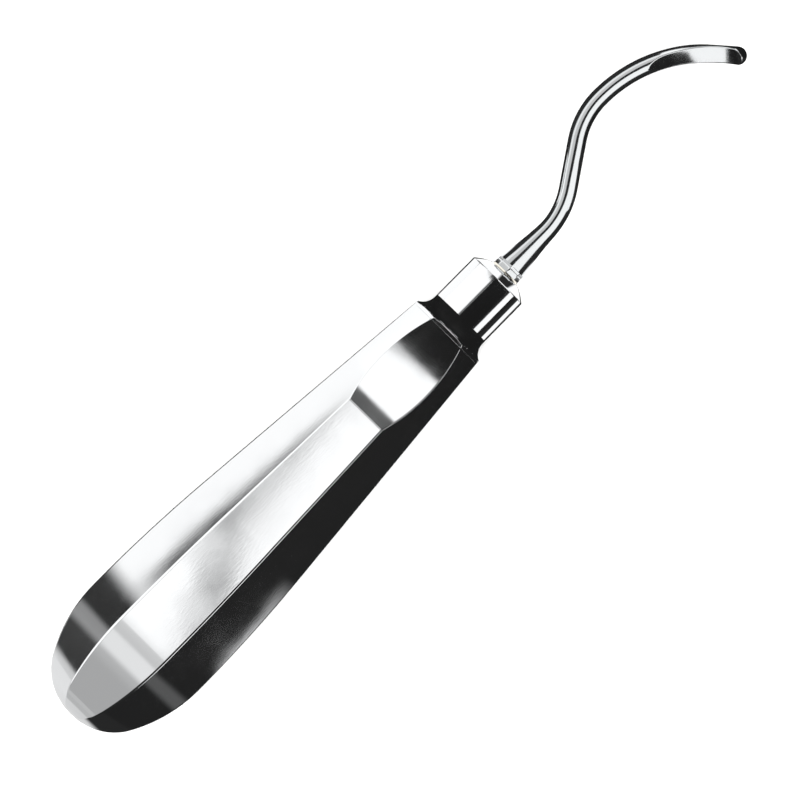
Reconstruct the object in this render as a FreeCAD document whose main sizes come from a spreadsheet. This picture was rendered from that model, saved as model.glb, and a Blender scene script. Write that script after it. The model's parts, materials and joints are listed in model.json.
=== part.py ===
import FreeCAD, Part
import math
import os
import Sketcher

# A root elevator: a hollow, eight-sided stainless handle, a turned ferrule and a forged
# working end.  Everything is built along the handle's own axis, with X = 0 at the butt
# and X towards the tip.  At the end each piece is turned and shifted so that the planar
# back of the handle lies on Z = 0, with the origin in the middle of that flat.

DIMENSIONS = [
    # handle outline, half of the width across the flats
    ("nose_radius", 10.2, "rounding of the butt"),
    ("belly_radius", 12.25, "largest half width across the flats"),
    ("belly_place", 18.15, "where the handle is widest"),
    ("waist_radius", 278.0, "long curve from the belly into the taper"),
    ("taper_angle", 5.1, "slope of the flats towards the ferrule"),
    ("front_place", 91.2, "where the flare has become the ferrule's cylinder"),
    ("wall", 1.0, "sheet thickness of the two half shells"),
    # thumb scoops
    ("scoop_radius", 31.0, "radius of the scoop's floor"),
    ("scoop_place", 81.95, "deepest place of the scoop"),
    ("scoop_floor", 6.1, "height of the floor over the handle's axis"),
    # ferrule
    ("seam_place", 88.0, "joint between shells and ferrule"),
    ("flare_radius", 2.8, "hollow fillet between flats and cylinder"),
    ("ferrule_radius", 5.53, "cylinder of the ferrule"),
    ("shoulder_place", 100.3, "edge where the domed nose starts"),
    ("nose_place", 101.85, "flat mouth of the ferrule"),
    ("mouth_radius", 3.05, "outer radius of the flat mouth"),
    ("spigot_radius", 4.7, "spigot inside the shells"),
    ("spigot_place", 82.0, "back end of the spigot"),
    # tang and what carries it
    ("tang_radius", 2.2, "round tang and the bores round it"),
    ("tang_place", 59.0, "back end of the tang"),
    ("sleeve_radius", 3.2, "outside of the sleeve"),
    ("disc_place", 60.0, "back face of the centring disc"),
    ("disc_thickness", 1.5, "thickness of the centring disc"),
    ("pin_radius", 0.8, "cross pin"),
    ("pin_place", 85.0, "cross pin along the axis"),
    ("pin_length", 9.0, "cross pin"),
    # working end
    ("land_radius", 2.6, "corner radius of the eight-sided root land"),
    ("land_length", 1.75, "root land beyond the mouth"),
    ("shank_radius", 1.55, "thin part of the shank"),
    ("root_length", 10.9, "taper from the land to the thin shank"),
    ("solder_leg", 0.4, "legs of the solder fillet"),
    ("blade_reach", 5.4, "straight stretch at the end of the blade"),
    ("face_radius", 12.3, "hollow of the blade's ground face"),
    ("face_shift", 2.2, "deepest place of that face beyond the blade's bend"),
    ("face_lift", 0.1, "ground face over the bar's centre line"),
]

# The shank's bends after its straight root: radius, turn in degrees, and the direction
# of the bend about the shank, in degrees from the handle's left side (0) to up (90).
RISE_RADIUS = 14.0
RISE_TURN = 34.0
RISE_RUN = 8.07
CREST_RADIUS = 13.5
HOOK_RADIUS = 24.75
HOOK_TURN = 32.0
BLADE_RADIUS = 9.9
BLADE_TURN = 37.0
BLADE_ROLL = 119.0

# The first bend starts this far before the end of the root's taper.
BEND_LEAD = 3.0
# Step from the land's corners down to the taper behind them.
LAND_STEP = 0.05
PIN_CHAMFER = 0.15

# Room that boxes and cutters have beyond what they cut.
ROOM = 20.0
CLEAR = 1.0
SLAB_WIDTH = 40.0

AXIS_X = FreeCAD.Vector(1, 0, 0)
AXIS_Y = FreeCAD.Vector(0, 1, 0)
AXIS_Z = FreeCAD.Vector(0, 0, 1)


def make_sheet(doc):
    """The driving dimensions, one row each, with a word as alias."""
    sheet = doc.addObject("Spreadsheet::Sheet", "dims")
    for row, (alias, value, meaning) in enumerate(DIMENSIONS, start=1):
        sheet.set("A%d" % row, str(value))
        sheet.setAlias("A%d" % row, alias)
        sheet.set("B%d" % row, meaning)
    doc.recompute()
    return sheet


def bind(thing, **formulas):
    """Ties properties of an object to formulas over the sheet's words."""
    for name, formula in formulas.items():
        thing.setExpression(name, formula)


def vector(x, y=0.0, z=0.0):
    return FreeCAD.Vector(x, y, z)


def along_axis(thing, place, direction=AXIS_X):
    """Stands a primitive on the handle's axis at a bound place."""
    thing.Placement = FreeCAD.Placement(vector(0), FreeCAD.Rotation(AXIS_Z, direction))
    thing.setExpression("Placement.Base.x", place)


def combine(doc, kind, name, base, tool):
    thing = doc.addObject("Part::" + kind, name)
    thing.Base = base
    thing.Tool = tool
    return thing


def combine_many(doc, kind, name, shapes):
    thing = doc.addObject("Part::Multi" + kind, name)
    thing.Shapes = shapes
    return thing


def cylinder(doc, name, radius, start, length):
    """A cylinder on the handle's axis."""
    thing = doc.addObject("Part::Cylinder", name)
    bind(thing, Radius=radius, Height=length)
    along_axis(thing, start)
    return thing


def box_along(doc, name, start, length):
    """A wide box square to the axis, from start over length."""
    thing = doc.addObject("Part::Box", name)
    thing.Width = SLAB_WIDTH
    thing.Height = SLAB_WIDTH
    bind(thing, Length=length)
    thing.Placement.Base = vector(0, -SLAB_WIDTH / 2, -SLAB_WIDTH / 2)
    thing.setExpression("Placement.Base.x", start)
    return thing


# ---------------------------------------------------------------- handle outline

def outline_points(sheet, inset):
    """Corners and centres of the pear outline, set in from the outer one by inset."""
    nose = vector(sheet.nose_radius)
    rise = (sheet.belly_place - sheet.nose_radius) ** 2
    rise += sheet.belly_radius ** 2 - sheet.nose_radius ** 2
    shoulder_radius = rise / (2 * (sheet.belly_radius - sheet.nose_radius))
    shoulder = vector(sheet.belly_place, sheet.belly_radius - shoulder_radius)
    waist = vector(sheet.belly_place, sheet.belly_radius - sheet.waist_radius)
    joint_angle = math.atan2(-shoulder.y, nose.x - shoulder.x)
    slope = math.radians(sheet.taper_angle)
    waist_radius = sheet.waist_radius - inset
    waist_end = waist + vector(math.sin(slope), math.cos(slope)) * waist_radius
    front = waist_end + vector(1, -math.tan(slope)) * (sheet.front_place - waist_end.x)
    return nose, shoulder, shoulder_radius - inset, joint_angle, waist, waist_end, front


def mirrored_arc(arc):
    """The same arc on the other side of the axis, drawn the other way round."""
    circle = Part.Circle(vector(arc.Center.x, -arc.Center.y), AXIS_Z, arc.Radius)
    return Part.ArcOfCircle(circle, -arc.LastParameter, -arc.FirstParameter)


def outline_sketch(doc, sheet, name, inset):
    """Pear outline in the sketch plane: butt arc, two shoulders, two long waists, two
    straight tapers and the front.  inset is the sheet's word for the offset, or '0'."""
    offset = getattr(sheet, inset) if inset != "0" else 0.0
    points = outline_points(sheet, offset)
    nose, shoulder, shoulder_radius, joint_angle, waist, waist_end, front = points
    sketch = doc.addObject("Sketcher::SketchObject", name)
    slope = math.radians(sheet.taper_angle)
    quarter = math.pi / 2

    butt_circle = Part.Circle(nose, AXIS_Z, sheet.nose_radius - offset)
    shoulder_circle = Part.Circle(shoulder, AXIS_Z, shoulder_radius)
    waist_circle = Part.Circle(waist, AXIS_Z, sheet.waist_radius - offset)
    shoulder_arc = Part.ArcOfCircle(shoulder_circle, quarter, joint_angle)
    waist_arc = Part.ArcOfCircle(waist_circle, quarter - slope, quarter)
    low_end = vector(waist_end.x, -waist_end.y)
    low_front = vector(front.x, -front.y)
    butt, top_shoulder, top_waist, top_taper, face, low_taper, low_waist, low_shoulder = range(8)
    sketch.addGeometry([
        Part.ArcOfCircle(butt_circle, joint_angle, 2 * math.pi - joint_angle),
        shoulder_arc,
        waist_arc,
        Part.LineSegment(waist_end, front),
        Part.LineSegment(front, low_front),
        Part.LineSegment(low_front, low_end),
        mirrored_arc(waist_arc),
        mirrored_arc(shoulder_arc),
    ], False)

    start, end, centre, x_axis = 1, 2, 3, -1
    rules = [
        ("Tangent", butt, start, top_shoulder, end),
        ("Tangent", top_shoulder, start, top_waist, end),
        ("Tangent", top_waist, start, top_taper, start),
        ("Coincident", top_taper, end, face, start),
        ("Coincident", face, end, low_taper, start),
        ("Tangent", low_taper, end, low_waist, end),
        ("Tangent", low_waist, start, low_shoulder, end),
        ("Tangent", low_shoulder, start, butt, end),
        ("PointOnObject", butt, centre, x_axis),
        ("Symmetric", face, start, face, end, x_axis),
        ("Symmetric", top_waist, end, low_waist, start, x_axis),
        ("Symmetric", top_taper, start, low_taper, end, x_axis),
        ("Vertical", top_waist, end, top_waist, centre),
    ]
    for rule in rules:
        sketch.addConstraint(Sketcher.Constraint(*rule))

    # Name, constraint and formula; the outline's radii shrink by the inset.
    less = " - dims.%s" % inset if inset != "0" else ""
    belly = sheet.belly_radius - offset
    waist_size = sheet.waist_radius - offset
    sizes = [
        ("nose_radius", ("Radius", butt, sheet.nose_radius - offset), "dims.nose_radius" + less),
        ("nose_place", ("DistanceX", butt, centre, sheet.nose_radius), "dims.nose_radius"),
        ("belly_place", ("DistanceX", top_waist, end, sheet.belly_place), "dims.belly_place"),
        ("belly_radius", ("DistanceY", top_waist, end, belly), "dims.belly_radius" + less),
        ("waist_radius", ("Radius", top_waist, waist_size), "dims.waist_radius" + less),
        ("front_place", ("DistanceX", top_taper, end, sheet.front_place), "dims.front_place"),
        ("taper_angle", ("Angle", top_taper, -slope), "-dims.taper_angle * 1 deg"),
    ]
    for label, rule, formula in sizes:
        index = sketch.addConstraint(Sketcher.Constraint(*rule))
        sketch.renameConstraint(index, label)
        sketch.setExpression("Constraints.%s" % label, formula)
    return sketch


def octagon_pear(doc, sheet, name, inset):
    """Eight-sided pear: the same outline seen square to each pair of flats."""
    sketch = outline_sketch(doc, sheet, name + "_outline", inset)
    slabs = []
    for eighth in range(4):
        slab = doc.addObject("Part::Extrusion", "%s_slab_%d" % (name, eighth))
        slab.Base = sketch
        slab.DirMode = "Normal"
        slab.LengthFwd = SLAB_WIDTH
        slab.Symmetric = True
        slab.Solid = True
        slab.Placement = FreeCAD.Placement(vector(0), FreeCAD.Rotation(AXIS_X, 45 * eighth))
        slabs.append(slab)
    return combine_many(doc, "Common", name, slabs)


def scoop_cutters(doc, name, radius):
    """Two cylinders across the handle, one over each face."""
    cutters = []
    for side, sign in (("front", "+"), ("back", "-")):
        cutter = doc.addObject("Part::Cylinder", "%s_%s" % (name, side))
        cutter.Height = SLAB_WIDTH
        cutter.Placement = FreeCAD.Placement(
            vector(0, SLAB_WIDTH / 2, 0), FreeCAD.Rotation(AXIS_X, 90))
        bind(cutter, Radius=radius)
        cutter.setExpression("Placement.Base.x", "dims.scoop_place")
        cutter.setExpression(
            "Placement.Base.z", "%s(dims.scoop_floor + dims.scoop_radius)" % sign)
        cutters.append(cutter)
    return combine_many(doc, "Fuse", name, cutters)


# ---------------------------------------------------------------- handle pieces

def handle_solids(doc, sheet):
    """The outer pear with its scoops, and the hollow inside it."""
    pear = octagon_pear(doc, sheet, "outer_pear", "0")
    scooped = combine(doc, "Cut", "scooped_pear", pear,
                      scoop_cutters(doc, "outer_scoops", "dims.scoop_radius"))
    core = octagon_pear(doc, sheet, "inner_pear", "wall")
    hollow = combine(doc, "Cut", "hollow", core,
                     scoop_cutters(doc, "inner_scoops", "dims.scoop_radius + dims.wall"))
    return scooped, hollow


def half_shell(doc, name, full, side):
    """One pressed half of the handle, on the upper or lower side of the mid plane."""
    half = doc.addObject("Part::Box", name + "_side")
    half.Width = SLAB_WIDTH
    half.Height = SLAB_WIDTH / 2
    bind(half, Length="dims.seam_place + %g" % ROOM)
    lift = 0 if side > 0 else -SLAB_WIDTH / 2
    half.Placement.Base = vector(-ROOM, -SLAB_WIDTH / 2, lift)
    return combine(doc, "Common", name, full, half)


def handle_shells(doc, scooped, hollow):
    shell = combine(doc, "Cut", "whole_shell", scooped, hollow)
    return [
        half_shell(doc, "handle_front_shell", shell, 1),
        half_shell(doc, "handle_back_shell", shell, -1),
    ]


def centring_disc(doc, hollow):
    """Eight-sided bulkhead that fits the hollow and holds the sleeve and the tang."""
    slice_box = box_along(doc, "disc_slice", "dims.disc_place", "dims.disc_thickness")
    plate = combine(doc, "Common", "disc_plate", hollow, slice_box)
    hole = cylinder(doc, "disc_hole", "dims.tang_radius", "dims.disc_place - %g" % CLEAR,
                    "dims.disc_thickness + %g" % (2 * CLEAR))
    return combine(doc, "Cut", "centring_disc", plate, hole)


# ---------------------------------------------------------------- ferrule

def torus(doc, name, place, ring_radius, tube_radius):
    """A ring round the handle's axis, which hollows out whatever it meets."""
    thing = doc.addObject("Part::Torus", name)
    bind(thing, Radius1=ring_radius, Radius2=tube_radius)
    along_axis(thing, place)
    return thing


def cone(doc, name, start, length, start_radius, end_radius):
    thing = doc.addObject("Part::Cone", name)
    bind(thing, Radius1=start_radius, Radius2=end_radius, Height=length)
    along_axis(thing, start)
    return thing


def cross_pin(doc, name, length):
    """A cylinder through the axis from side to side."""
    pin = doc.addObject("Part::Cylinder", name)
    bind(pin, Radius="dims.pin_radius", Height=length)
    pin.Placement.Rotation = FreeCAD.Rotation(AXIS_X, 90)
    pin.setExpression("Placement.Base.x", "dims.pin_place")
    pin.setExpression("Placement.Base.y", "(%s) / 2" % length)
    return pin


def domed_nose(doc):
    """Front end of the ferrule, domed from the barrel's edge to the flat mouth: part of
    a ball whose centre lies on the handle's axis."""
    start, end = "dims.shoulder_place", "dims.nose_place"
    spread = "(dims.mouth_radius^2 - dims.ferrule_radius^2)"
    centre = "((%s + %s) / 2 + %s / (2 * (%s - %s)))" % (start, end, spread, end, start)
    ball = doc.addObject("Part::Sphere", "nose_ball")
    bind(ball, Radius="sqrt((%s - %s)^2 + dims.mouth_radius^2)" % (end, centre))
    ball.setExpression("Placement.Base.x", centre)
    blank = cylinder(doc, "nose_blank", "dims.ferrule_radius", start, "%s - %s" % (end, start))
    return combine(doc, "Common", "nose", blank, ball)


def ferrule(doc, scooped):
    """Eight-sided foot, hollow flare, cylinder and domed nose, bored for the tang."""
    foot_slice = box_along(doc, "foot_slice", "dims.seam_place",
                           "dims.front_place - dims.seam_place")
    foot_block = combine(doc, "Common", "foot_block", scooped, foot_slice)
    flare = torus(doc, "flare", "dims.front_place",
                  "dims.ferrule_radius + dims.flare_radius", "dims.flare_radius")
    foot = combine(doc, "Cut", "foot", foot_block, flare)
    barrel = cylinder(doc, "barrel", "dims.ferrule_radius", "dims.seam_place",
                      "dims.shoulder_place - dims.seam_place")
    nose = domed_nose(doc)
    spigot = cylinder(doc, "spigot", "dims.spigot_radius", "dims.spigot_place",
                      "dims.seam_place - dims.spigot_place")
    blank = combine_many(doc, "Fuse", "ferrule_blank", [foot, barrel, nose, spigot])
    bore = cylinder(doc, "ferrule_bore", "dims.tang_radius", "dims.spigot_place - %g" % CLEAR,
                    "dims.nose_place - dims.spigot_place + %g" % (2 * CLEAR))
    pin_hole = cross_pin(doc, "ferrule_pin_hole", "%g" % SLAB_WIDTH)
    openings = combine_many(doc, "Fuse", "ferrule_openings", [bore, pin_hole])
    return combine(doc, "Cut", "ferrule", blank, openings)


def tang_pin(doc):
    """Cross pin through the spigot and the tang, with its ends broken by a chamfer."""
    rod = cross_pin(doc, "pin_rod", "dims.pin_length")
    pin = doc.addObject("Part::Chamfer", "tang_pin")
    doc.recompute()
    pin.Base = rod
    rims = [index + 1 for index, edge in enumerate(rod.Shape.Edges) if len(edge.Vertexes) == 1]
    pin.Edges = [(rim, PIN_CHAMFER, PIN_CHAMFER) for rim in rims]
    return pin


def tang_sleeve(doc):
    """Tube from the spigot back to the disc."""
    start = "dims.disc_place + dims.disc_thickness"
    length = "dims.spigot_place - dims.disc_place - dims.disc_thickness"
    outside = cylinder(doc, "sleeve_outside", "dims.sleeve_radius", start, length)
    bore = cylinder(doc, "sleeve_bore", "dims.tang_radius", start, length)
    return combine(doc, "Cut", "tang_sleeve", outside, bore)


# ---------------------------------------------------------------- working end

def land_prism(doc, name, length):
    """Eight-sided land at the ferrule's mouth, with a corner on top."""
    prism = doc.addObject("Part::Prism", name)
    prism.Polygon = 8
    bind(prism, Circumradius="dims.land_radius", Height=length)
    along_axis(prism, "dims.nose_place")
    return prism


def bend(place, heading, side, radius, turn):
    """An arc edge from place along heading towards side, then where and how it ends."""
    angle = math.radians(turn)
    centre = place + side * radius

    def at(part):
        return centre - side * (radius * math.cos(part)) + heading * (radius * math.sin(part))

    edge = Part.Arc(at(0), at(angle / 2), at(angle)).toShape()
    new_heading = heading * math.cos(angle) + side * math.sin(angle)
    return edge, at(angle), new_heading.normalize()


def shank_route(sheet):
    """Centre line of the thin shank: tangent arcs and straight runs.  Returns its wire,
    where it starts to become the blade, the blade's end and the blade's side vector."""
    root_end = sheet.nose_place + sheet.land_length + sheet.root_length
    place = vector(root_end - BEND_LEAD)
    heading = vector(1)
    edges = []

    def turn_flat(radius, turn, sign):
        nonlocal place, heading
        side = AXIS_Z.cross(heading) * sign
        edge, place, heading = bend(place, heading, side, radius, turn)
        edges.append(edge)

    def run(length):
        nonlocal place
        edges.append(Part.LineSegment(place, place + heading * length).toShape())
        place = place + heading * length

    turn_flat(RISE_RADIUS, RISE_TURN, 1)
    run(RISE_RUN)
    turn_flat(CREST_RADIUS, RISE_TURN, -1)
    turn_flat(HOOK_RADIUS, HOOK_TURN, -1)
    blade_start = place
    left = AXIS_Z.cross(heading)
    roll = math.radians(BLADE_ROLL)
    side = left * math.cos(roll) + AXIS_Z * math.sin(roll)
    across = heading.cross(side)
    edge, place, heading = bend(place, heading, side, BLADE_RADIUS, BLADE_TURN)
    edges.append(edge)
    blade_middle = place
    middle_heading = heading
    run(sheet.blade_reach)
    return Part.Wire(edges), blade_start, blade_middle, middle_heading, across, place


def working_end(doc, sheet):
    """Blade, bent shank, root land and tang, one forging."""
    wire, blade_start, blade_middle, middle_heading, across, tip = shank_route(sheet)
    spine = doc.addObject("Part::Feature", "shank_spine")
    spine.Shape = wire
    section = doc.addObject("Part::Circle", "shank_section")
    bind(section, Radius="dims.shank_radius")
    start = wire.OrderedVertexes[0].Point
    section.Placement = FreeCAD.Placement(start, FreeCAD.Rotation(AXIS_Z, AXIS_X))
    bar = doc.addObject("Part::Sweep", "shank_bar")
    bar.Sections = [section]
    bar.Spine = (spine, ["Edge%d" % (index + 1) for index in range(len(wire.Edges))])
    bar.Solid = True
    bar.Frenet = False

    tip_ball = doc.addObject("Part::Sphere", "tip_ball")
    bind(tip_ball, Radius="dims.shank_radius")
    tip_ball.Placement.Base = tip

    land_end = "dims.nose_place + dims.land_length"
    taper_radius = "((dims.root_length)^2 + (dims.land_radius - dims.shank_radius)^2)"
    taper_radius += " / (2 * (dims.land_radius - dims.shank_radius))"
    root = cylinder(doc, "root", "dims.land_radius - %g" % LAND_STEP, land_end,
                    "dims.root_length")
    hollow = torus(doc, "root_hollow", land_end + " + dims.root_length",
                   taper_radius + " + dims.shank_radius", taper_radius)
    root_taper = combine(doc, "Cut", "root_taper", root, hollow)
    land = land_prism(doc, "root_land", "dims.land_length")
    tang = cylinder(doc, "tang", "dims.tang_radius", "dims.tang_place",
                    "dims.nose_place - dims.tang_place")
    blank = combine_many(doc, "Fuse", "forging", [tang, land, root_taper, bar, tip_ball])

    face_normal = across.cross(middle_heading).normalize()
    wheel = doc.addObject("Part::Cylinder", "grinding_wheel")
    bind(wheel, Radius="dims.face_radius")
    wheel.Height = SLAB_WIDTH
    wheel_centre = blade_middle + middle_heading * sheet.face_shift
    wheel_centre += face_normal * (sheet.face_radius + sheet.face_lift)
    wheel.Placement = FreeCAD.Placement(
        wheel_centre - across * (SLAB_WIDTH / 2), FreeCAD.Rotation(AXIS_Z, across))
    pin_hole = cross_pin(doc, "tang_pin_hole", "%g" % SLAB_WIDTH)
    cutters = combine_many(doc, "Fuse", "forging_cutters", [wheel, pin_hole])
    return combine(doc, "Cut", "working_end", blank, cutters)


def solder_ring(doc):
    """Fillet of hard solder round the root land at the mouth."""
    fillet = cone(doc, "solder_fillet", "dims.nose_place", "dims.solder_leg",
                  "dims.land_radius + dims.solder_leg", "dims.land_radius")
    land = land_prism(doc, "solder_land", "dims.land_length")
    return combine(doc, "Cut", "solder_ring", fillet, land)


# ---------------------------------------------------------------- whole instrument

def rest_frame(sheet):
    """Turns and shifts the handle's axis frame so that the back flat lies on Z = 0."""
    slope = math.radians(sheet.taper_angle)
    waist_end = sheet.belly_place + sheet.waist_radius * math.sin(slope)
    flat_end = sheet.scoop_place - scoop_half_length(sheet)
    middle = (waist_end + flat_end) / 2
    depth = flat_radius(sheet, middle)
    turn = FreeCAD.Placement(vector(0), FreeCAD.Rotation(AXIS_Y, sheet.taper_angle))
    shift = FreeCAD.Placement(vector(-middle, 0, depth), FreeCAD.Rotation())
    return turn.multiply(shift)


def flat_radius(sheet, place):
    """Half width across the flats on the straight taper."""
    slope = math.radians(sheet.taper_angle)
    waist_end = sheet.belly_place + sheet.waist_radius * math.sin(slope)
    start = sheet.belly_radius - sheet.waist_radius * (1 - math.cos(slope))
    return start - math.tan(slope) * (place - waist_end)


def scoop_half_length(sheet):
    """From the scoop's middle back to the ledge where it leaves the flat."""
    centre = sheet.scoop_floor + sheet.scoop_radius
    length = 0.0
    step = 0.01
    while centre - math.sqrt(sheet.scoop_radius ** 2 - length ** 2) < flat_radius(
            sheet, sheet.scoop_place - length):
        length += step
    return length


def check(doc, pieces):
    """Stops before anything is written if the document or a piece has failed."""
    for thing in doc.Objects:
        if "Invalid" in thing.State or "Error" in thing.State:
            raise RuntimeError("%s did not recompute: %s" % (thing.Label, thing.State))
    for piece in pieces:
        shape = piece.Shape
        if shape.isNull() or not shape.isValid() or len(shape.Solids) != 1:
            raise RuntimeError("%s is not one valid solid" % piece.Label)


def main():
    doc = FreeCAD.newDocument("elevator")
    sheet = make_sheet(doc)
    scooped, hollow = handle_solids(doc, sheet)
    pieces = handle_shells(doc, scooped, hollow)
    pieces.append(centring_disc(doc, hollow))
    pieces.append(ferrule(doc, scooped))
    pieces.append(tang_sleeve(doc))
    pieces.append(tang_pin(doc))
    pieces.append(working_end(doc, sheet))
    pieces.append(solder_ring(doc))
    doc.recompute()

    frame = rest_frame(sheet)
    for piece in pieces:
        piece.Placement = frame.multiply(piece.Placement)
    check(doc, pieces)
    os.makedirs("parts", exist_ok=True)
    for piece in pieces:
        piece.Shape.exportStep("parts/%s.step" % piece.Label)
        box = piece.Shape.BoundBox
        print("%-20s volume %8.1f  box %s" % (piece.Label, piece.Shape.Volume, box))


main()
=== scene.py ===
# A root elevator with a hollow handle: two pressed half shells of mirror-polished
# stainless steel, a turned ferrule, and a forged working end with a hooked blade.
# Pieces are shaped in millimetres along the handle's own axis, with X = 0 at the butt,
# and laid into the row frame in metres as the last step.
import json
import math

import bmesh
import bpy
from mathutils import Matrix, Vector


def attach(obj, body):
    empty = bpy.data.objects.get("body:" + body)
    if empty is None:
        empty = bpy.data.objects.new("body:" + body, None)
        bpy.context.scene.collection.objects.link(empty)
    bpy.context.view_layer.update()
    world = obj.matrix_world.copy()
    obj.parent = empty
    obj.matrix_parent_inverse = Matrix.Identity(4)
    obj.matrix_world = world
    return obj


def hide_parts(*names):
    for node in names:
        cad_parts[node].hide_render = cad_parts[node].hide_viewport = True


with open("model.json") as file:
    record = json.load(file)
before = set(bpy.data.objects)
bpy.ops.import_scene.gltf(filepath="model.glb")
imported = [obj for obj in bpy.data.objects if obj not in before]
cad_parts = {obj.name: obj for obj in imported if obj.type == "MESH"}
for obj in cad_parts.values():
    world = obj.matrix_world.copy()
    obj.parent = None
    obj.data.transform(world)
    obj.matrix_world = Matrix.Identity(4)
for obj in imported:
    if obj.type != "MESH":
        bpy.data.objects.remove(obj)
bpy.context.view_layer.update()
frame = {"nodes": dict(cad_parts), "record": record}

# ------------------------------------------------------------------ driving sizes, mm

NOSE_RADIUS = 10.2
BELLY_RADIUS = 12.25
BELLY_PLACE = 18.15
WAIST_RADIUS = 278.0
TAPER = math.radians(5.1)
WALL = 1.0
EDGE_SHARE = 0.022          # rounding of the long edges, as a share of the half width
SEAM_GAP = 0.02             # hairline between the two shells

SCOOP_RADIUS = 31.0
SCOOP_PLACE = 81.95
SCOOP_FLOOR = 6.1
SCOOP_WIDTH = 40.0          # of the cut, wider than the handle
SCOOP_EDGE = 0.14           # rounding of the scoop's borders

SEAM_PLACE = 88.0
FRONT_PLACE = 91.2
FLARE_RADIUS = 2.8
BARREL_RADIUS = 5.53
SHOULDER_PLACE = 100.3
MOUTH_PLACE = 101.85
MOUTH_RADIUS = 3.05
SPIGOT_RADIUS = 4.7
SPIGOT_PLACE = 82.0
FERRULE_EDGE = 0.10         # rounding of the flare's scalloped border and the nose

TANG_RADIUS = 2.2
TANG_PLACE = 59.0
LAND_RADIUS = 2.6
LAND_LENGTH = 1.75
SHANK_RADIUS = 1.55
ROOT_LENGTH = 10.9
ROOT_STRAIGHT = 7.9
LAND_STEP = 0.05            # from the land's corners down to the taper behind them
SOLDER_LEG = 0.4

RISE_RADIUS = 14.0
RISE_TURN = math.radians(34.0)
RISE_RUN = 8.07
CREST_RADIUS = 13.5
HOOK_RADIUS = 24.75
HOOK_TURN = math.radians(32.0)
BLADE_RADIUS = 9.9
BLADE_TURN = math.radians(37.0)
BLADE_ROLL = math.radians(119.0)
BLADE_REACH = 5.4
FACE_RADIUS = 12.3
FACE_SHIFT = 2.2            # deepest place of the face beyond the blade's bend
FACE_LIFT = 0.1

# The barrel's mount is in the middle of the ferrule's cylinder, on the handle's axis.
BARREL_MIDDLE = (FRONT_PLACE + SHOULDER_PLACE) / 2

# ------------------------------------------------------------------ row frame

def axis_frame():
    """From millimetres along the handle's axis to metres in the row frame."""
    mounts = {mount["name"]: mount for mount in frame["record"]["mounts"]}
    barrel = mounts["ferrule_barrel"]
    along = Vector(barrel["axis"]).normalized()
    across = Vector((0.0, 1.0, 0.0))
    up = along.cross(across)
    butt = Vector(barrel["pos_m"]) - along * BARREL_MIDDLE * 0.001
    turn = Matrix((along, across, up)).transposed().to_4x4()
    return Matrix.Translation(butt) @ turn @ Matrix.Scale(0.001, 4)


TO_ROW = axis_frame()

# ------------------------------------------------------------------ meshes

def ring(bm, sides, share=0.0):
    """A ring of edges round X, of unit half width, its corners rounded by share."""
    stand = Matrix.Rotation(math.pi / 2, 4, "Y") @ Matrix.Rotation(math.pi / sides, 4, "Z")
    made = bmesh.ops.create_circle(
        bm, cap_ends=True, radius=1 / math.cos(math.pi / sides), segments=sides, matrix=stand)
    if share:
        bmesh.ops.bevel(bm, geom=made["verts"], offset=share, offset_type="OFFSET",
                        affect="VERTICES", segments=3, profile=0.5, material=-1)
    bmesh.ops.delete(bm, geom=list(bm.faces), context="FACES_ONLY")
    return list(bm.edges)


def loft(sides, places, share=0.0):
    """A closed skin through copies of one ring, each laid by its own matrix."""
    bm = bmesh.new()
    edges = ring(bm, sides, share)
    verts = list(bm.verts)
    bmesh.ops.transform(bm, matrix=places[0], verts=verts)
    bmesh.ops.contextual_create(bm, geom=edges)
    for before, after in zip(places, places[1:]):
        made = bmesh.ops.extrude_edge_only(bm, edges=edges)["geom"]
        edges = [part for part in made if isinstance(part, bmesh.types.BMEdge)]
        verts = [part for part in made if isinstance(part, bmesh.types.BMVert)]
        bmesh.ops.transform(bm, matrix=after @ before.inverted(), verts=verts)
    bmesh.ops.contextual_create(bm, geom=edges)
    bmesh.ops.recalc_face_normals(bm, faces=bm.faces)
    return bm


def on_axis(place, radius):
    """Lays a unit ring square to the handle's axis."""
    return Matrix.Translation((place, 0, 0)) @ Matrix.Diagonal((1, radius, radius, 1))


def turned(outline, steps=128):
    """A solid of revolution about X through corners of (place, radius)."""
    bm = bmesh.new()
    verts = [bm.verts.new((place, radius, 0)) for place, radius in outline]
    loop = verts + verts[:1]
    edges = [bm.edges.new(pair) for pair in zip(loop, loop[1:])]
    bmesh.ops.spin(bm, geom=verts + edges, axis=(1, 0, 0), cent=(0, 0, 0),
                   angle=2 * math.pi, steps=steps, use_merge=True)
    bmesh.ops.remove_doubles(bm, verts=bm.verts, dist=0.0001)
    bmesh.ops.recalc_face_normals(bm, faces=bm.faces)
    return bm


def cross_rod(radius, length, centre):
    """A plain cylinder that lies across the handle, used to cut with."""
    bm = bmesh.new()
    turn = Vector((0, 0, 1)).rotation_difference(Vector((0, 1, 0))).to_matrix().to_4x4()
    bmesh.ops.create_cone(bm, cap_ends=True, segments=512, radius1=radius, radius2=radius,
                          depth=length, matrix=Matrix.Translation(centre) @ turn)
    return bm


def soften(bm, edges, width):
    """Rounds chosen edges."""
    bmesh.ops.bevel(bm, geom=edges, offset=width, offset_type="OFFSET", affect="EDGES",
                    segments=3, profile=0.5, material=-1, clamp_overlap=False)


def as_object(name, bm):
    mesh = bpy.data.meshes.new(name)
    bm.to_mesh(mesh)
    bm.free()
    thing = bpy.data.objects.new(name, mesh)
    bpy.context.scene.collection.objects.link(thing)
    return thing


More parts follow.
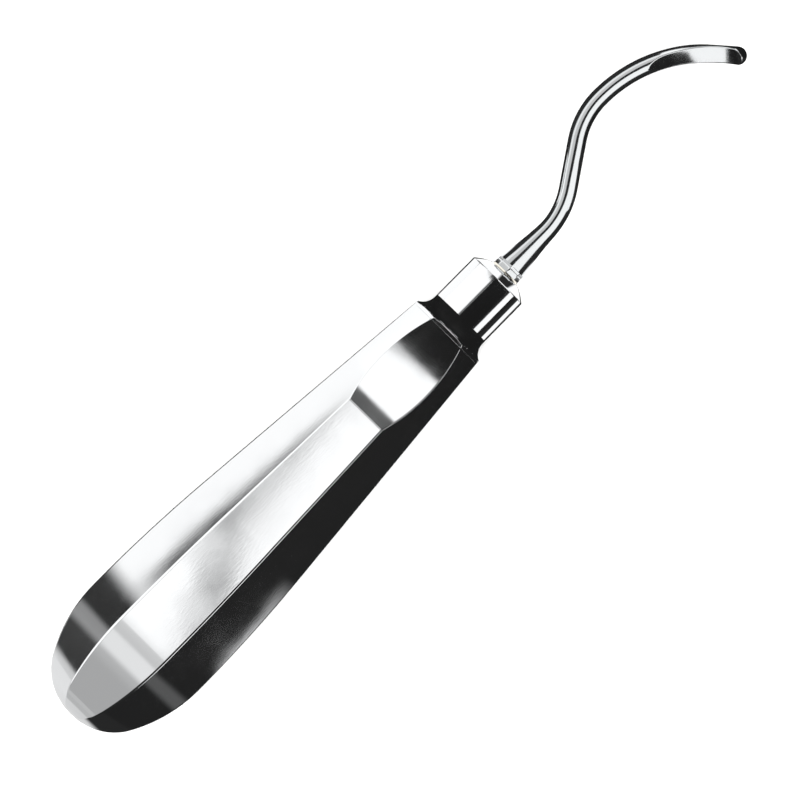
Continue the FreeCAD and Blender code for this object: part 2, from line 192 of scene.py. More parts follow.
def combined(thing, operation, *tools):
    """Boolean with each tool, whose mesh is used up."""
    for tool in tools:
        cutter = as_object("cutter", tool)
        change = thing.modifiers.new("combine", "BOOLEAN")
        change.operation = operation
        change.object = cutter
        change.solver = "EXACT"
        result = bpy.data.meshes.new_from_object(
            thing.evaluated_get(bpy.context.evaluated_depsgraph_get()))
        thing.modifiers.clear()
        thing.data = result
        bpy.data.objects.remove(cutter)
    return thing


def edited(thing, change):
    """Runs change on the object's mesh as a bmesh."""
    bm = bmesh.new()
    bm.from_mesh(thing.data)
    change(bm)
    bm.to_mesh(thing.data)
    bm.free()
    return thing


def finished(thing, material, cad_node, edge_width):
    """Breaks the sharp edges by edge_width in mm, shades smooth, lays the piece into the
    row frame and hides the CAD node it stands for."""
    thing.data.transform(TO_ROW)
    if edge_width:
        edge = thing.modifiers.new("broken_edges", "BEVEL")
        edge.width = edge_width * 0.001
        edge.segments = 2
        edge.profile = 0.5
        edge.limit_method = "ANGLE"
        edge.angle_limit = math.radians(24)
        edge.use_clamp_overlap = False
    for face in thing.data.polygons:
        face.use_smooth = True
    thing.modifiers.new("flat_facets", "WEIGHTED_NORMAL").keep_sharp = True
    thing.data.materials.clear()
    thing.data.materials.append(material)
    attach(thing, "root")
    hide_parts(cad_node)
    return thing

# ------------------------------------------------------------------ materials

def linear(code):
    """An sRGB hex colour as linear RGBA."""
    parts = [int(code[place:place + 2], 16) / 255 for place in (1, 3, 5)]
    curve = [part / 12.92 if part <= 0.04045 else ((part + 0.055) / 1.055) ** 2.4 for part in parts]
    return (*curve, 1.0)


def node(tree, kind, settings=None, inputs=None, links=None):
    """Adds a node with its settings, its sockets' values and the links into it."""
    made = tree.nodes.new(kind)
    for name, value in (settings or {}).items():
        setattr(made, name, value)
    for name, value in (inputs or {}).items():
        made.inputs[name].default_value = value
    for name, source in (links or {}).items():
        tree.links.new(source, made.inputs[name])
    return made


CLOUD_MM = 6.25             # patches of haze that the felt wheel leaves
GRAIN_WIDTH = 0.3           # width of a grain mark as a share of its length along the piece


def polished_steel(name, colour, roughness, grain_mm, haze):
    """Stainless steel from a felt wheel: a mirror with a faint grain along the piece and
    a slightly uneven haze, which softens the edges of what it reflects.  The real grain
    is finer than 0.1 mm and is drawn coarser."""
    material = bpy.data.materials.new(name)
    material.use_nodes = True
    tree = material.node_tree
    tree.nodes.clear()
    where = node(tree, "ShaderNodeTexCoord")
    grain_scale = 1 / (grain_mm * 0.001)
    stretch = node(tree, "ShaderNodeMapping", inputs={"Scale": (GRAIN_WIDTH, 1, 1)},
                   links={"Vector": where.outputs["Object"]})
    grain = node(tree, "ShaderNodeTexNoise", inputs={"Scale": grain_scale, "Detail": 3.0},
                 links={"Vector": stretch.outputs[0]})
    cloud = node(tree, "ShaderNodeTexNoise", inputs={"Scale": 1 / (CLOUD_MM * 0.001), "Detail": 4.0},
                 links={"Vector": where.outputs["Object"]})
    rough = node(tree, "ShaderNodeMapRange",
                 inputs={"From Min": 0.3, "From Max": 0.7,
                         "To Min": roughness, "To Max": roughness + haze},
                 links={"Value": cloud.outputs["Fac"]})
    bump = node(tree, "ShaderNodeBump", inputs={"Strength": 0.06, "Distance": 0.00002},
                links={"Height": grain.outputs["Fac"]})
    shader = node(tree, "ShaderNodeBsdfPrincipled",
                  inputs={"Base Color": linear(colour), "Metallic": 1.0},
                  links={"Roughness": rough.outputs[0], "Normal": bump.outputs[0]})
    node(tree, "ShaderNodeOutputMaterial", links={"Surface": shader.outputs[0]})
    return material


# Pressed sheet, buffed to a mirror: broad clean reflections with a trace of haze.
shell_steel = polished_steel("mirror_polished_stainless_sheet", "#D9DADB", 0.05, 0.35, 0.05)
# Turned bar, polished on the lathe: the cleanest mirror of the pieces.
ferrule_steel = polished_steel("turned_and_polished_stainless", "#D9DADB", 0.05, 0.30, 0.04)
# Hardened forging, fine-polished by hand: a little darker, with softer reflections.
blade_steel = polished_steel("fine_polished_hardened_stainless", "#D0D2D3", 0.08, 0.30, 0.06)
# Silver solder, wiped and brushed: slightly warm and satin.
solder = polished_steel("bright_silver_solder", "#DAD6CB", 0.16, 0.30, 0.10)
# Turned and left plain, for what is inside the handle: grey and satin.
plain_steel = polished_steel("plain_turned_stainless", "#B9BCBE", 0.28, 0.30, 0.12)

# ------------------------------------------------------------------ handle

def arc_steps(first, last, count):
    return [first + (last - first) * step / count for step in range(count + 1)]


def pear_outline(front):
    """Places and half widths across the flats, from the butt to front."""
    rise = (BELLY_PLACE - NOSE_RADIUS) ** 2 + BELLY_RADIUS ** 2 - NOSE_RADIUS ** 2
    shoulder = rise / (2 * (BELLY_RADIUS - NOSE_RADIUS))
    joint = math.atan2(shoulder - BELLY_RADIUS, BELLY_PLACE - NOSE_RADIUS)
    outline = []
    for angle in arc_steps(math.radians(1.0), joint, 18):
        outline.append((NOSE_RADIUS * (1 - math.cos(angle)), NOSE_RADIUS * math.sin(angle)))
    for angle in arc_steps(joint, math.pi / 2, 14)[1:]:
        outline.append((BELLY_PLACE - shoulder * math.cos(angle),
                        BELLY_RADIUS - shoulder * (1 - math.sin(angle))))
    for angle in arc_steps(0, TAPER, 12)[1:]:
        outline.append((BELLY_PLACE + WAIST_RADIUS * math.sin(angle),
                        BELLY_RADIUS - WAIST_RADIUS * (1 - math.cos(angle))))
    place, radius = outline[-1]
    outline.append((front, radius - math.tan(TAPER) * (front - place)))
    return outline


def pear(front):
    """The eight-sided handle as a closed solid, scooped on both faces."""
    rings = [on_axis(place, radius) for place, radius in pear_outline(front)]
    body = as_object("pear", loft(8, rings, share=EDGE_SHARE))
    height = SCOOP_FLOOR + SCOOP_RADIUS
    scoops = [cross_rod(SCOOP_RADIUS, SCOOP_WIDTH, Vector((SCOOP_PLACE, 0, side * height)))
              for side in (1, -1)]
    combined(body, "DIFFERENCE", *scoops)

    def soften_scoops(bm):
        borders = []
        for edge in bm.edges:
            middle = (edge.verts[0].co.x + edge.verts[1].co.x) / 2
            near = abs(middle - SCOOP_PLACE) < SCOOP_RADIUS / 2 and middle < front - 0.1
            if near and edge.is_manifold and edge.calc_face_angle() > math.radians(14):
                borders.append(edge)
        soften(bm, borders, SCOOP_EDGE)

    return edited(body, soften_scoops)


def half_shell(name, cad_node, side):
    """One pressed half: the skin above or below the mid plane, thickened inwards."""
    half = pear(SEAM_PLACE)
    half.name = name

    def open_up(bm):
        front = [face for face in bm.faces if face.calc_center_median().x > SEAM_PLACE - 0.001]
        bmesh.ops.delete(bm, geom=front, context="FACES")
        everything = bm.verts[:] + bm.edges[:] + bm.faces[:]
        bmesh.ops.bisect_plane(bm, geom=everything, dist=0.0001, clear_inner=True,
                               plane_co=(0, 0, side * SEAM_GAP / 2), plane_no=(0, 0, side))

    edited(half, open_up)
    wall = half.modifiers.new("wall", "SOLIDIFY")
    wall.thickness = WALL * 0.001
    wall.offset = -1
    wall.use_even_offset = True
    return finished(half, shell_steel, cad_node, edge_width=0.03)


# ------------------------------------------------------------------ ferrule

def ferrule():
    """Turned blank inside the eight-sided taper, which leaves scalloped flats where the
    hollow flare runs out.  Its nose is part of a ball."""
    hollow_centre = BARREL_RADIUS + FLARE_RADIUS
    outline = [(SPIGOT_PLACE, TANG_RADIUS), (SPIGOT_PLACE, SPIGOT_RADIUS),
               (SEAM_PLACE, SPIGOT_RADIUS), (SEAM_PLACE, hollow_centre)]
    for angle in arc_steps(0, math.pi / 2, 24):
        outline.append((FRONT_PLACE - FLARE_RADIUS * math.cos(angle),
                        hollow_centre - FLARE_RADIUS * math.sin(angle)))
    length = MOUTH_PLACE - SHOULDER_PLACE
    spread = MOUTH_RADIUS ** 2 - BARREL_RADIUS ** 2
    ball_centre = (SHOULDER_PLACE + MOUTH_PLACE) / 2 + spread / (2 * length)
    ball_radius = math.hypot(MOUTH_PLACE - ball_centre, MOUTH_RADIUS)
    first = math.atan2(BARREL_RADIUS, SHOULDER_PLACE - ball_centre)
    last = math.atan2(MOUTH_RADIUS, MOUTH_PLACE - ball_centre)
    for angle in arc_steps(first, last, 12):
        outline.append((ball_centre + ball_radius * math.cos(angle), ball_radius * math.sin(angle)))
    outline.append((MOUTH_PLACE, TANG_RADIUS))
    piece = as_object("turned_ferrule", turned(outline))
    body = pear(MOUTH_PLACE + 1)
    bm = bmesh.new()
    bm.from_mesh(body.data)
    bpy.data.objects.remove(body)
    combined(piece, "INTERSECT", bm)

    def soften_front(bm):
        """Rounds what is in front of the seam and keeps the seam itself crisp."""
        borders = []
        for edge in bm.edges:
            in_front = min(vert.co.x for vert in edge.verts) > SEAM_PLACE + 0.05
            if in_front and edge.is_manifold and edge.calc_face_angle() > math.radians(24):
                borders.append(edge)
            edge.smooth = in_front
        soften(bm, borders, FERRULE_EDGE)

    edited(piece, soften_front)
    return finished(piece, ferrule_steel, "ferrule", edge_width=0)


def solder_ring():
    """Small hollow fillet between the mouth and the root land."""
    outline = [(MOUTH_PLACE, LAND_RADIUS - 0.2)]
    for angle in arc_steps(0, math.pi / 2, 6):
        outline.append((MOUTH_PLACE + SOLDER_LEG * (1 - math.cos(angle)),
                        LAND_RADIUS + SOLDER_LEG * (1 - math.sin(angle))))
    outline.append((MOUTH_PLACE + SOLDER_LEG, LAND_RADIUS - 0.2))
    piece = as_object("silver_solder_fillet", turned(outline, steps=64))
    return finished(piece, solder, "solder_ring", edge_width=0.02)


# ------------------------------------------------------------------ working end

BAR_SIDES = 64              # points round the bar
FACE_SECTOR = math.radians(67.5)   # half of the sector of those points that is ground
SECTOR_LEAD = 6.0           # length over which the sector narrows to the face's run-out
SECTOR_LEAST = math.radians(1.5)
GATHER = 0.3                # below 1, points on a facet crowd towards its corners


def around(angle, radius):
    """A point round the bar, by its angle from the left side towards up."""
    return Vector((0, radius * math.cos(angle), radius * math.sin(angle)))


def eight_sided(angle, corner):
    """The same point on an octagon with a corner on top.  Points gather towards the
    corners, so that the facets stay flat."""
    eighth = math.pi / 4
    number = math.floor(angle / eighth)
    place = 2 * (angle / eighth - number) - 1
    place = math.copysign(abs(place) ** GATHER, place)
    first = around(number * eighth, corner)
    last = around((number + 1) * eighth, corner)
    return first.lerp(last, (place + 1) / 2)


class Route:
    """Walks along the bar and notes how each ring lies, its radius and its length."""

    def __init__(self, place):
        self.lie = Matrix.Translation((place, 0, 0))
        self.length = 0.0
        self.rings = []

    def note(self, radius):
        self.rings.append((self.lie.copy(), radius, self.length))

    def run(self, length, count, radius_at):
        for _ in range(count):
            self.lie = self.lie @ Matrix.Translation((length / count, 0, 0))
            self.length += length / count
            self.note(radius_at(self.length))

    def bend(self, radius, turn, roll, count, radius_at):
        """Bends by turn towards the side at roll about the bar, 0 being its left."""
        tilt = Matrix.Rotation(roll, 4, "X")
        step = turn / count
        chord = Matrix.Translation((radius * math.sin(step), radius * (1 - math.cos(step)), 0))
        for _ in range(count):
            self.lie = self.lie @ tilt @ chord @ Matrix.Rotation(step, 4, "Z") @ tilt.inverted()
            self.length += radius * step
            self.note(radius_at(self.length))


class Wheel:
    """The grinding wheel that leaves the blade's hollow face."""

    def __init__(self, middle):
        turn = middle.to_3x3() @ Matrix.Rotation(BLADE_ROLL, 3, "X")
        self.across = turn @ Vector((0, 0, 1))
        self.centre = middle.translation + turn @ Vector((FACE_SHIFT, FACE_RADIUS + FACE_LIFT, 0))
        self.start = 0.0

    def arm(self, point):
        """From the wheel's axis square out to a point."""
        away = point - self.centre
        return away - self.across * away.dot(self.across)

    def cuts(self, point):
        return self.arm(point).length < FACE_RADIUS

    def onto(self, point):
        """The nearest point of the wheel's rim."""
        away = self.arm(point)
        return point + away.normalized() * (FACE_RADIUS - away.length)

    def bearing(self, lie):
        """The angle round a ring at which it faces the wheel's axis."""
        towards = lie.to_3x3().transposed() @ -self.arm(lie.translation)
        return math.atan2(towards.z, towards.y)

    def border(self, lie, radius, middle, side):
        """How far round from the middle the wheel cuts into a round section."""
        cut, free = 0.0, math.pi
        for _ in range(40):
            trial = (cut + free) / 2
            if self.cuts(lie @ around(middle + side * trial, radius)):
                cut = trial
            else:
                free = trial
        return cut

    def section(self, lie, radius, length):
        """Returns a function from a point's angle round the bar to its place: round at
        the back, and on the wheel's rim in the sector that is ground."""
        share = min(max((length - self.start) / SECTOR_LEAD + 1, 0.0), 1.0)
        middle = BLADE_ROLL + (self.bearing(lie) - BLADE_ROLL) * share
        least = FACE_SECTOR * (1 - share) + SECTOR_LEAST
        ground = self.cuts(lie @ around(middle, radius))
        low, high = (max(self.border(lie, radius, middle, side), least) for side in (-1, 1))
        back = math.pi - (low + high) / 2

        def place(angle):
            turn = (angle - BLADE_ROLL + math.pi) % (2 * math.pi) - math.pi
            part = abs(turn) / FACE_SECTOR
            half = high if turn > 0 else low
            side = math.copysign(1, turn)
            if part >= 1:
                rest = (abs(turn) - FACE_SECTOR) / (math.pi - FACE_SECTOR)
                return lie @ around(middle + side * (half + rest * back), radius)
            if not ground:
                return lie @ around(middle + side * part * half, radius)
            first = lie @ around(middle - low, radius)
            last = lie @ around(middle + high, radius)
            return self.onto(first.lerp(last, (turn / FACE_SECTOR + 1) / 2))

        return place


def shank_radius(length):
    """Radius at a length from the root land: a hollow taper into the thin shank."""
    left = max(ROOT_LENGTH - length, 0.0)
    drop = LAND_RADIUS - SHANK_RADIUS
    sweep = (ROOT_LENGTH ** 2 + drop ** 2) / (2 * drop)
    return SHANK_RADIUS + left ** 2 / (2 * sweep)


def bar_route():
    """The bent bar from its root to the rounded tip, and the blade's grinding wheel."""
    route = Route(MOUTH_PLACE + LAND_LENGTH + LAND_STEP)
    route.note(shank_radius(0) - LAND_STEP)
    route.run(ROOT_STRAIGHT - LAND_STEP, 10, shank_radius)
    route.bend(RISE_RADIUS, RISE_TURN, 0, 16, shank_radius)
    route.run(RISE_RUN, 8, shank_radius)
    route.bend(CREST_RADIUS, RISE_TURN, math.pi, 16, shank_radius)
    route.bend(HOOK_RADIUS, HOOK_TURN, math.pi, 64, shank_radius)
    route.bend(BLADE_RADIUS, BLADE_TURN, BLADE_ROLL, 48, shank_radius)
    wheel = Wheel(route.lie)
    route.run(BLADE_REACH, 36, shank_radius)
    tip, length = route.lie, route.length
    for angle in arc_steps(0, math.radians(87), 24)[1:]:
        route.lie = tip @ Matrix.Translation((SHANK_RADIUS * math.sin(angle), 0, 0))
        route.length = length + SHANK_RADIUS * angle
        route.note(SHANK_RADIUS * math.cos(angle))
    wheel.start = next(length for lie, radius, length in route.rings
                       if wheel.cuts(lie @ around(wheel.bearing(lie), radius)))
    return route.rings, wheel


def working_end():
    """Tang, eight-sided root land, bent round shank and hollow-ground blade, one skin."""
    rings, wheel = bar_route()
    land_end = MOUTH_PLACE + LAND_LENGTH
    back = [(TANG_PLACE, TANG_RADIUS, around), (MOUTH_PLACE, TANG_RADIUS, around),
            (MOUTH_PLACE, LAND_RADIUS, eight_sided), (land_end, LAND_RADIUS, eight_sided)]
    places = []
    for place, radius, outline in back:
        lie = Matrix.Translation((place, 0, 0))
        places.append(lambda angle, lie=lie, radius=radius, outline=outline: lie @ outline(angle, radius))
    for lie, radius, length in rings:
        places.append(wheel.section(lie, radius, length))

    bm = loft(BAR_SIDES, [Matrix.Translation((number, 0, 0)) for number in range(len(places))])
    for vert in bm.verts:
        number = round(vert.co.x)
        vert.co = places[number](math.atan2(vert.co.z, vert.co.y))
    bmesh.ops.recalc_face_normals(bm, faces=bm.faces)
    for edge in bm.edges:
        on_root = max(vert.co.x for vert in edge.verts) < land_end + 0.1
        edge.smooth = not (on_root and edge.calc_face_angle() > math.radians(30))
    piece = as_object("forged_working_end", bm)
    return finished(piece, blade_steel, "working_end", edge_width=0)


# ------------------------------------------------------------------ studio

# Polished steel shows little but its surroundings, so most of the look is in the cards
# below.  They are seen in the metal only.  A pattern's stops are (place, brightness).

SHEET_MM = 132.0            # width of what the camera sees at the handle's height
LENS_MM = 200.0
SENSOR_MM = 36.0
AIM_PLACE = 74.98           # where the camera looks, along the handle's axis and beside it
AIM_SIDE = -2.34
TIP_TURN = math.radians(45.42)
DARK = 0.015                # brightness of a flag
BRIGHT = 1.4                # strength of the white cards near the instrument


def camera():
    """Looks square down on the handle's flats, the tip towards the upper right."""
    lens = bpy.data.cameras.new("camera")
    lens.lens = LENS_MM
    lens.sensor_width = SENSOR_MM
    lens.clip_start = 0.01
    thing = bpy.data.objects.new("camera", lens)
    bpy.context.scene.collection.objects.link(thing)
    distance = SHEET_MM * LENS_MM / SENSOR_MM
    aim = Matrix.Translation((AIM_PLACE, AIM_SIDE, distance))
    turn = Matrix.Rotation(-TIP_TURN, 4, "Z")
    thing.matrix_world = TO_ROW @ aim @ turn
    place, spin, _ = thing.matrix_world.decompose()
    thing.matrix_world = Matrix.Translation(place) @ spin.to_matrix().to_4x4()
    bpy.context.scene.camera = thing


def floor():
    """A plain pale table top, and a plain pale room."""
    bm = bmesh.new()
    bmesh.ops.create_grid(bm, x_segments=1, y_segments=1, size=1.2)
    top = as_object("table_top", bm)
    material = bpy.data.materials.new("pale_laminate")
    material.use_nodes = True
    shader = material.node_tree.nodes["Principled BSDF"]
    shader.inputs["Base Color"].default_value = linear("#FCFCFB")
    shader.inputs["Roughness"].default_value = 0.9
    shader.inputs["Specular IOR Level"].default_value = 0.1
    top.data.materials.append(material)
    world = bpy.data.worlds.new("pale_room")
    bpy.context.scene.world = world
    world.use_nodes = True
    backdrop = world.node_tree.nodes["Background"]
    backdrop.inputs["Color"].default_value = linear("#FFFFFF")
    backdrop.inputs["Strength"].default_value = 2.0
    bpy.context.scene.view_settings.view_transform = "Standard"


def ramp(tree, value, low, high, stops):
    """Brightness by a value from low to high, through stops of (value, brightness)."""
    share = node(tree, "ShaderNodeMapRange", inputs={"From Min": low, "From Max": high},
                 links={"Value": value})
    made = node(tree, "ShaderNodeValToRGB", links={"Fac": share.outputs[0]})
    made.color_ramp.interpolation = "EASE"
    marks = made.color_ramp.elements
    while len(marks) < len(stops):
        marks.new(0.5)
    for mark, (place, bright) in zip(marks, stops):
        mark.position = (place - low) / (high - low)
        mark.color = (bright, bright, bright, 1)
    return made.outputs[0]


def mixed(tree, blend, first, second):
    """Two brightnesses put together by a blend such as LIGHTEN or MULTIPLY."""
    made = node(tree, "ShaderNodeMix", {"data_type": "RGBA", "blend_type": blend}, {0: 1.0})
    tree.links.new(first, made.inputs[6])
    tree.links.new(second, made.inputs[7])
    return made.outputs[2]


def reflector(name, bm, paint, strength=1.0):
    """A card that lights nothing and is seen in the metal only.  paint returns its
    brightness from the coordinates of a place on it, in metres."""
    thing = as_object(name, bm)
    material = bpy.data.materials.new(name)
    material.use_nodes = True
    tree = material.node_tree
    tree.nodes.clear()
    where = node(tree, "ShaderNodeTexCoord")
    split = node(tree, "ShaderNodeSeparateXYZ", links={0: where.outputs["Object"]})
    glow = node(tree, "ShaderNodeEmission", inputs={"Strength": strength},
                links={"Color": paint(tree, *split.outputs)})
    node(tree, "ShaderNodeOutputMaterial", links={"Surface": glow.outputs[0]})
    thing.data.materials.append(material)
    thing.visible_camera = False
    thing.visible_diffuse = False
    thing.visible_shadow = False
    thing.visible_transmission = False
    thing.visible_volume_scatter = False
    return thing


def dome():
    """Soft boxes and dark flags above the table: light on the left, dark on the right
    but for one strip light, and a row of soft boxes overhead along the instrument."""
    def paint(tree, x, y, z):
        sides = ramp(tree, y, -1, 1, [(-0.995, 0.02), (-0.984, 0.95), (-0.873, 0.95), (-0.855, 0.02),
                                      (0.06, 0.02), (0.24, 0.12), (0.33, 1.0)])
        along = ramp(tree, x, -1, 1, [(-0.60, 0.36), (-0.47, 0.42), (-0.38, 0.72), (-0.22, 0.72),
                                      (-0.165, 0.52), (-0.06, 0.56), (-0.01, 1.0), (0.67, 1.0),
                                      (0.70, 0.10), (0.83, 0.10), (0.87, 0.4)])
        slant = node(tree, "ShaderNodeMath", {"operation": "MULTIPLY_ADD"}, {1: -4.0}, {0: y, 2: x})
        veil = ramp(tree, slant.outputs[0], -1, 1, [(0.060, 1.0), (0.087, 0.38), (0.160, 0.38), (0.195, 1.0)])
        over = ramp(tree, y, -1, 1, [(-0.20, 0.0), (-0.13, 1.0), (0.13, 1.0), (0.20, 0.0)])
        row = mixed(tree, "MULTIPLY", mixed(tree, "MULTIPLY", along, veil), over)
        return mixed(tree, "LIGHTEN", sides, row)

    bm = bmesh.new()
    bmesh.ops.create_uvsphere(bm, u_segments=64, v_segments=32, radius=1.0)
    reflector("dome", bm, paint, strength=1.5)


def azimuth_pattern(tree, x, y):
    """Brightness round the horizon, in turns from the left side (0) towards the butt
    (0.25): light on the left, a dark flag, dimmer behind the butt, and dark on the right
    and towards the tip."""
    back = node(tree, "ShaderNodeMath", {"operation": "MULTIPLY"}, {1: -1.0}, {0: x})
    angle = node(tree, "ShaderNodeMath", {"operation": "ARCTAN2"}, links={0: back.outputs[0], 1: y})
    turns = node(tree, "ShaderNodeMath", {"operation": "DIVIDE"}, {1: 2 * math.pi},
                 {0: angle.outputs[0]})
    degree = 1 / 360
    stops = [(-80, 0.012), (-60, 0.9), (-40, 1.0), (20, 1.0), (40, 0.015), (50, 0.015), (56, 0.6),
             (95, 0.45), (105, 0.015), (160, 0.015)]
    return ramp(tree, turns.outputs[0], -0.5, 0.5, [(place * degree, bright) for place, bright in stops])


def horizon():
    """A low wall of cards round the table."""
    bm = bmesh.new()
    bmesh.ops.create_cone(bm, cap_ends=False, segments=128, radius1=0.4, radius2=0.4, depth=0.06,
                          matrix=Matrix.Translation((0, 0, 0.03)))
    reflector("horizon_cards", bm, lambda tree, x, y, z: azimuth_pattern(tree, x, y), strength=1.5)


def chosen(tree, share, first, second):
    """The first brightness where share is 0, the second where it is 1."""
    made = node(tree, "ShaderNodeMix", {"data_type": "RGBA", "blend_type": "MIX"})
    tree.links.new(share, made.inputs[0])
    tree.links.new(first, made.inputs[6])
    tree.links.new(second, made.inputs[7])
    return made.outputs[2]


def table_cards():
    """What the metal sees of the table: dark beside the handle and the shank, white
    strips beside the ferrule and its nose, pale behind the butt, and the horizon's
    pattern further out."""
    def paint(tree, x, y, z):
        def across(*stops):
            return ramp(tree, y, -0.1, 0.1, stops)

        def zone(*stops):
            return ramp(tree, x, -0.1, 0.1, stops)

        near = across((0.0, 0.02), (0.1, 0.02))
        butt = across((-0.012, 0.02), (-0.006, 0.6), (0.02, 0.75))
        near = chosen(tree, zone((-0.062, 1.0), (-0.0585, 0.0)), near, butt)
        ferrule_strips = across((-0.027, 0.02), (-0.024, 1.0), (-0.0125, 1.0), (-0.011, 0.02),
                                (0.0095, 0.02), (0.0115, 1.0))
        near = chosen(tree, zone((0.0335, 0.0), (0.0345, 1.0), (0.0470, 1.0), (0.0475, 0.0)),
                      near, ferrule_strips)
        nose_strips = across((-0.014, 0.02), (-0.012, 1.0), (-0.002, 1.0), (-0.001, 0.02),
                             (0.001, 0.02), (0.002, 1.0), (0.012, 1.0), (0.014, 0.02))
        near = chosen(tree, zone((0.0475, 0.0), (0.0480, 1.0), (0.0510, 1.0), (0.0518, 0.0)),
                      near, nose_strips)
        distance = node(tree, "ShaderNodeVectorMath", {"operation": "LENGTH"})
        flat = node(tree, "ShaderNodeCombineXYZ", links={0: x, 1: y})
        tree.links.new(flat.outputs[0], distance.inputs[0])
        far = ramp(tree, distance.outputs["Value"], 0, 0.4, [(0.115, 0.0), (0.125, 1.0)])
        return chosen(tree, far, near, azimuth_pattern(tree, x, y))

    bm = bmesh.new()
    bmesh.ops.create_grid(bm, x_segments=1, y_segments=1, size=0.4,
                          matrix=Matrix.Translation((0, 0, 0.00005)))
    reflector("table_cards", bm, paint, BRIGHT)


def card(name, low, high, paint, strength=1.0):
    """A flat reflector between two corners that share one coordinate."""
    low, high = Vector(low), Vector(high)
    size = high - low
    bm = bmesh.new()
    bmesh.ops.create_grid(bm, x_segments=1, y_segments=1, size=0.5)
    if size.y == 0:
        bmesh.ops.transform(bm, matrix=Matrix.Rotation(math.pi / 2, 4, "X"), verts=bm.verts)
    if size.x == 0:
        bmesh.ops.transform(bm, matrix=Matrix.Rotation(math.pi / 2, 4, "Y"), verts=bm.verts)
    spread = Matrix.Diagonal((size.x or 1.0, size.y or 1.0, size.z or 1.0, 1.0))
    bmesh.ops.transform(bm, matrix=Matrix.Translation((low + high) / 2) @ spread, verts=bm.verts)
    reflector(name, bm, paint, strength)


def side_cards():
    """Standing cards that the slanting facets see: white on the left, with two dark bands
    towards the butt and a veil above; dark on the right, with a low white wedge."""
    def left(tree, x, y, z):
        bands = ramp(tree, x, -0.17, 0.03, [
            (-0.160, 0.8), (-0.135, 0.6), (-0.115, 0.04), (-0.081, 0.05), (-0.071, 0.28),
            (-0.063, 0.26), (-0.055, 0.03), (-0.0395, 0.03), (-0.0335, 1.0)])
        height = node(tree, "ShaderNodeMath", {"operation": "MULTIPLY_ADD"}, {1: 0.136}, {0: x, 2: z})
        veil = ramp(tree, height.outputs[0], 0.0, 0.03, [(0.0172, 1.0), (0.0200, 0.08)])
        spare = ramp(tree, x, -0.17, 0.03, [
            (-0.042, 1.0), (-0.022, 0.1), (0.010, 0.0), (0.028, 0.9)])
        return mixed(tree, "MULTIPLY", bands, mixed(tree, "LIGHTEN", veil, spare))

    def right(tree, x, y, z):
        band = ramp(tree, x, -0.17, 0.03, [
            (-0.076, DARK), (-0.068, 0.09), (-0.062, 0.09), (-0.054, DARK)])
        reach = ramp(tree, x, -0.17, 0.03, [
            (-0.039, 0.0), (-0.034, 1.0), (-0.027, 0.9), (-0.018, 0.4), (-0.006, 0.0)])
        low = ramp(tree, z, 0.0, 0.03, [(0.0150, 1.0), (0.0176, 0.0)])
        return mixed(tree, "LIGHTEN", band, mixed(tree, "MULTIPLY", reach, low))

    card("left_card", (-0.17, 0.09, 0.0), (0.03, 0.09, 0.035), left, BRIGHT)
    card("right_card", (-0.17, -0.09, 0.0), (0.03, -0.09, 0.035), right, BRIGHT)


def dark(tree, x, y, z):
    return ramp(tree, y, -1, 1, [(0.0, DARK), (1.0, DARK)])


def white(tree, x, y, z):
    return ramp(tree, y, -1, 1, [(0.0, 1.0), (1.0, 1.0)])


def cone_card(name, place, depth, back_radius, front_radius, paint, strength=1.0):
    """A reflector round the handle's axis, its middle at a place along it, in mm."""
    bm = bmesh.new()
    lie = TO_ROW @ Matrix.Translation((place, 0, 0)) @ Matrix.Rotation(math.pi / 2, 4, "Y")
    bmesh.ops.create_cone(bm, cap_ends=False, segments=64, radius1=back_radius,
                          radius2=front_radius, depth=depth, matrix=lie)
    reflector(name, bm, paint, strength)


def dark_flags():
    """Dark flags close over the scoop and the ferrule, and a collar round the flare."""
    card("scoop_flag", (0.0235, -0.025, 0.0425), (0.0305, 0.025, 0.0425), dark)
    card("ferrule_flag", (0.0360, -0.014, 0.0200), (0.0470, 0.0019, 0.0200), dark)
    cone_card("flare_collar", FRONT_PLACE - 0.9, FLARE_RADIUS, 7.8, BARREL_RADIUS + 0.09, dark)


def nose_card():
    """A white washer round the root in front of the ferrule's nose, dark on top."""
    def paint(tree, x, y, z):
        return ramp(tree, y, -0.02, 0.02, [(-0.0032, 1.0), (-0.0026, 0.02), (0.0, 0.02), (0.0006, 1.0)])

    cone_card("nose_card", MOUTH_PLACE + 1.35, 0.01, 6.5, LAND_RADIUS + 0.15, paint, BRIGHT)


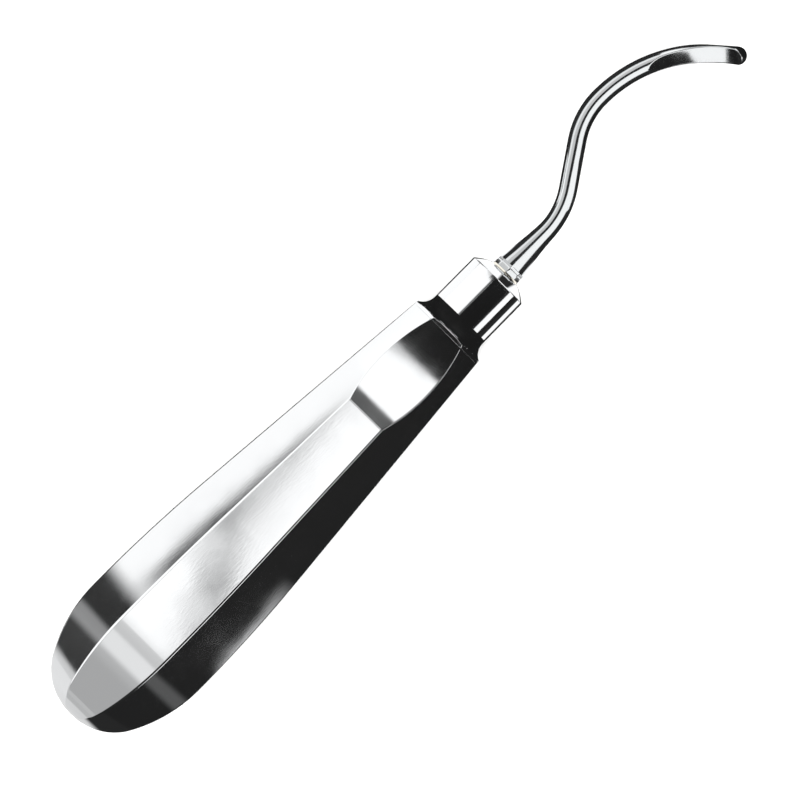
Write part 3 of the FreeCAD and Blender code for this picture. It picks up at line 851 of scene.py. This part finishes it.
def blade_cards():
    """What the blade's hollow face sees: a dark flag beside its run-out, white behind
    its middle, and dark low down behind its tip."""
    card("run_out_flag", (0.0853, -0.0030, 0.0060), (0.0905, -0.0030, 0.0112), dark)
    card("middle_card", (0.0700, -0.0200, 0.0062), (0.0700, 0.0020, 0.0270), white, BRIGHT)
    card("tip_flag", (0.0770, -0.0040, 0.0), (0.0770, 0.0055, 0.0046), dark)
    card("end_flag", (0.1045, -0.0150, 0.0), (0.1045, 0.0080, 0.0250), dark)


def shank_trough():
    """A half pipe of bands over the shank: a dark line along its crest, white on the
    right, grey and white on the left, and dark low on both sides."""
    middle_y, middle_z, radius = 0.004, 0.008, 0.035

    def paint(tree, x, y, z):
        right = node(tree, "ShaderNodeMath", {"operation": "SUBTRACT"}, {0: middle_y}, {1: y})
        up = node(tree, "ShaderNodeMath", {"operation": "SUBTRACT"}, {1: middle_z}, {0: z})
        angle = node(tree, "ShaderNodeMath", {"operation": "ARCTAN2"},
                     links={0: right.outputs[0], 1: up.outputs[0]})
        stops = [(-80, 0.02), (-75, 0.9), (-56, 0.9), (-50, 0.60), (-26, 0.60), (-20, 0.02), (4, 0.02),
                 (9, 1.0), (70, 1.0), (76, 0.02)]
        return ramp(tree, angle.outputs[0], -math.pi, math.pi,
                    [(math.radians(place), bright) for place, bright in stops])

    bm = bmesh.new()
    stand = Matrix.Translation((0.080, middle_y, middle_z)) @ Matrix.Rotation(math.pi / 2, 4, "Y")
    bmesh.ops.create_cone(bm, cap_ends=False, segments=96, radius1=radius, radius2=radius, depth=0.063,
                          matrix=stand)
    bmesh.ops.bisect_plane(bm, geom=bm.verts[:] + bm.edges[:] + bm.faces[:], clear_inner=True,
                           plane_co=(0, 0, 0.0001), plane_no=(0, 0, 1))
    reflector("shank_trough", bm, paint, BRIGHT)


# ------------------------------------------------------------------ the instrument

half_shell("pressed_front_shell", "handle_front_shell", 1)
half_shell("pressed_back_shell", "handle_back_shell", -1)
ferrule()
solder_ring()
working_end()
for hidden in ("tang_sleeve", "tang_pin", "centring_disc"):
    frame["nodes"][hidden].data.materials.clear()
    frame["nodes"][hidden].data.materials.append(plain_steel)

camera()
floor()
dome()
horizon()
table_cards()
side_cards()
dark_flags()
nose_card()
blade_cards()
shank_trough()
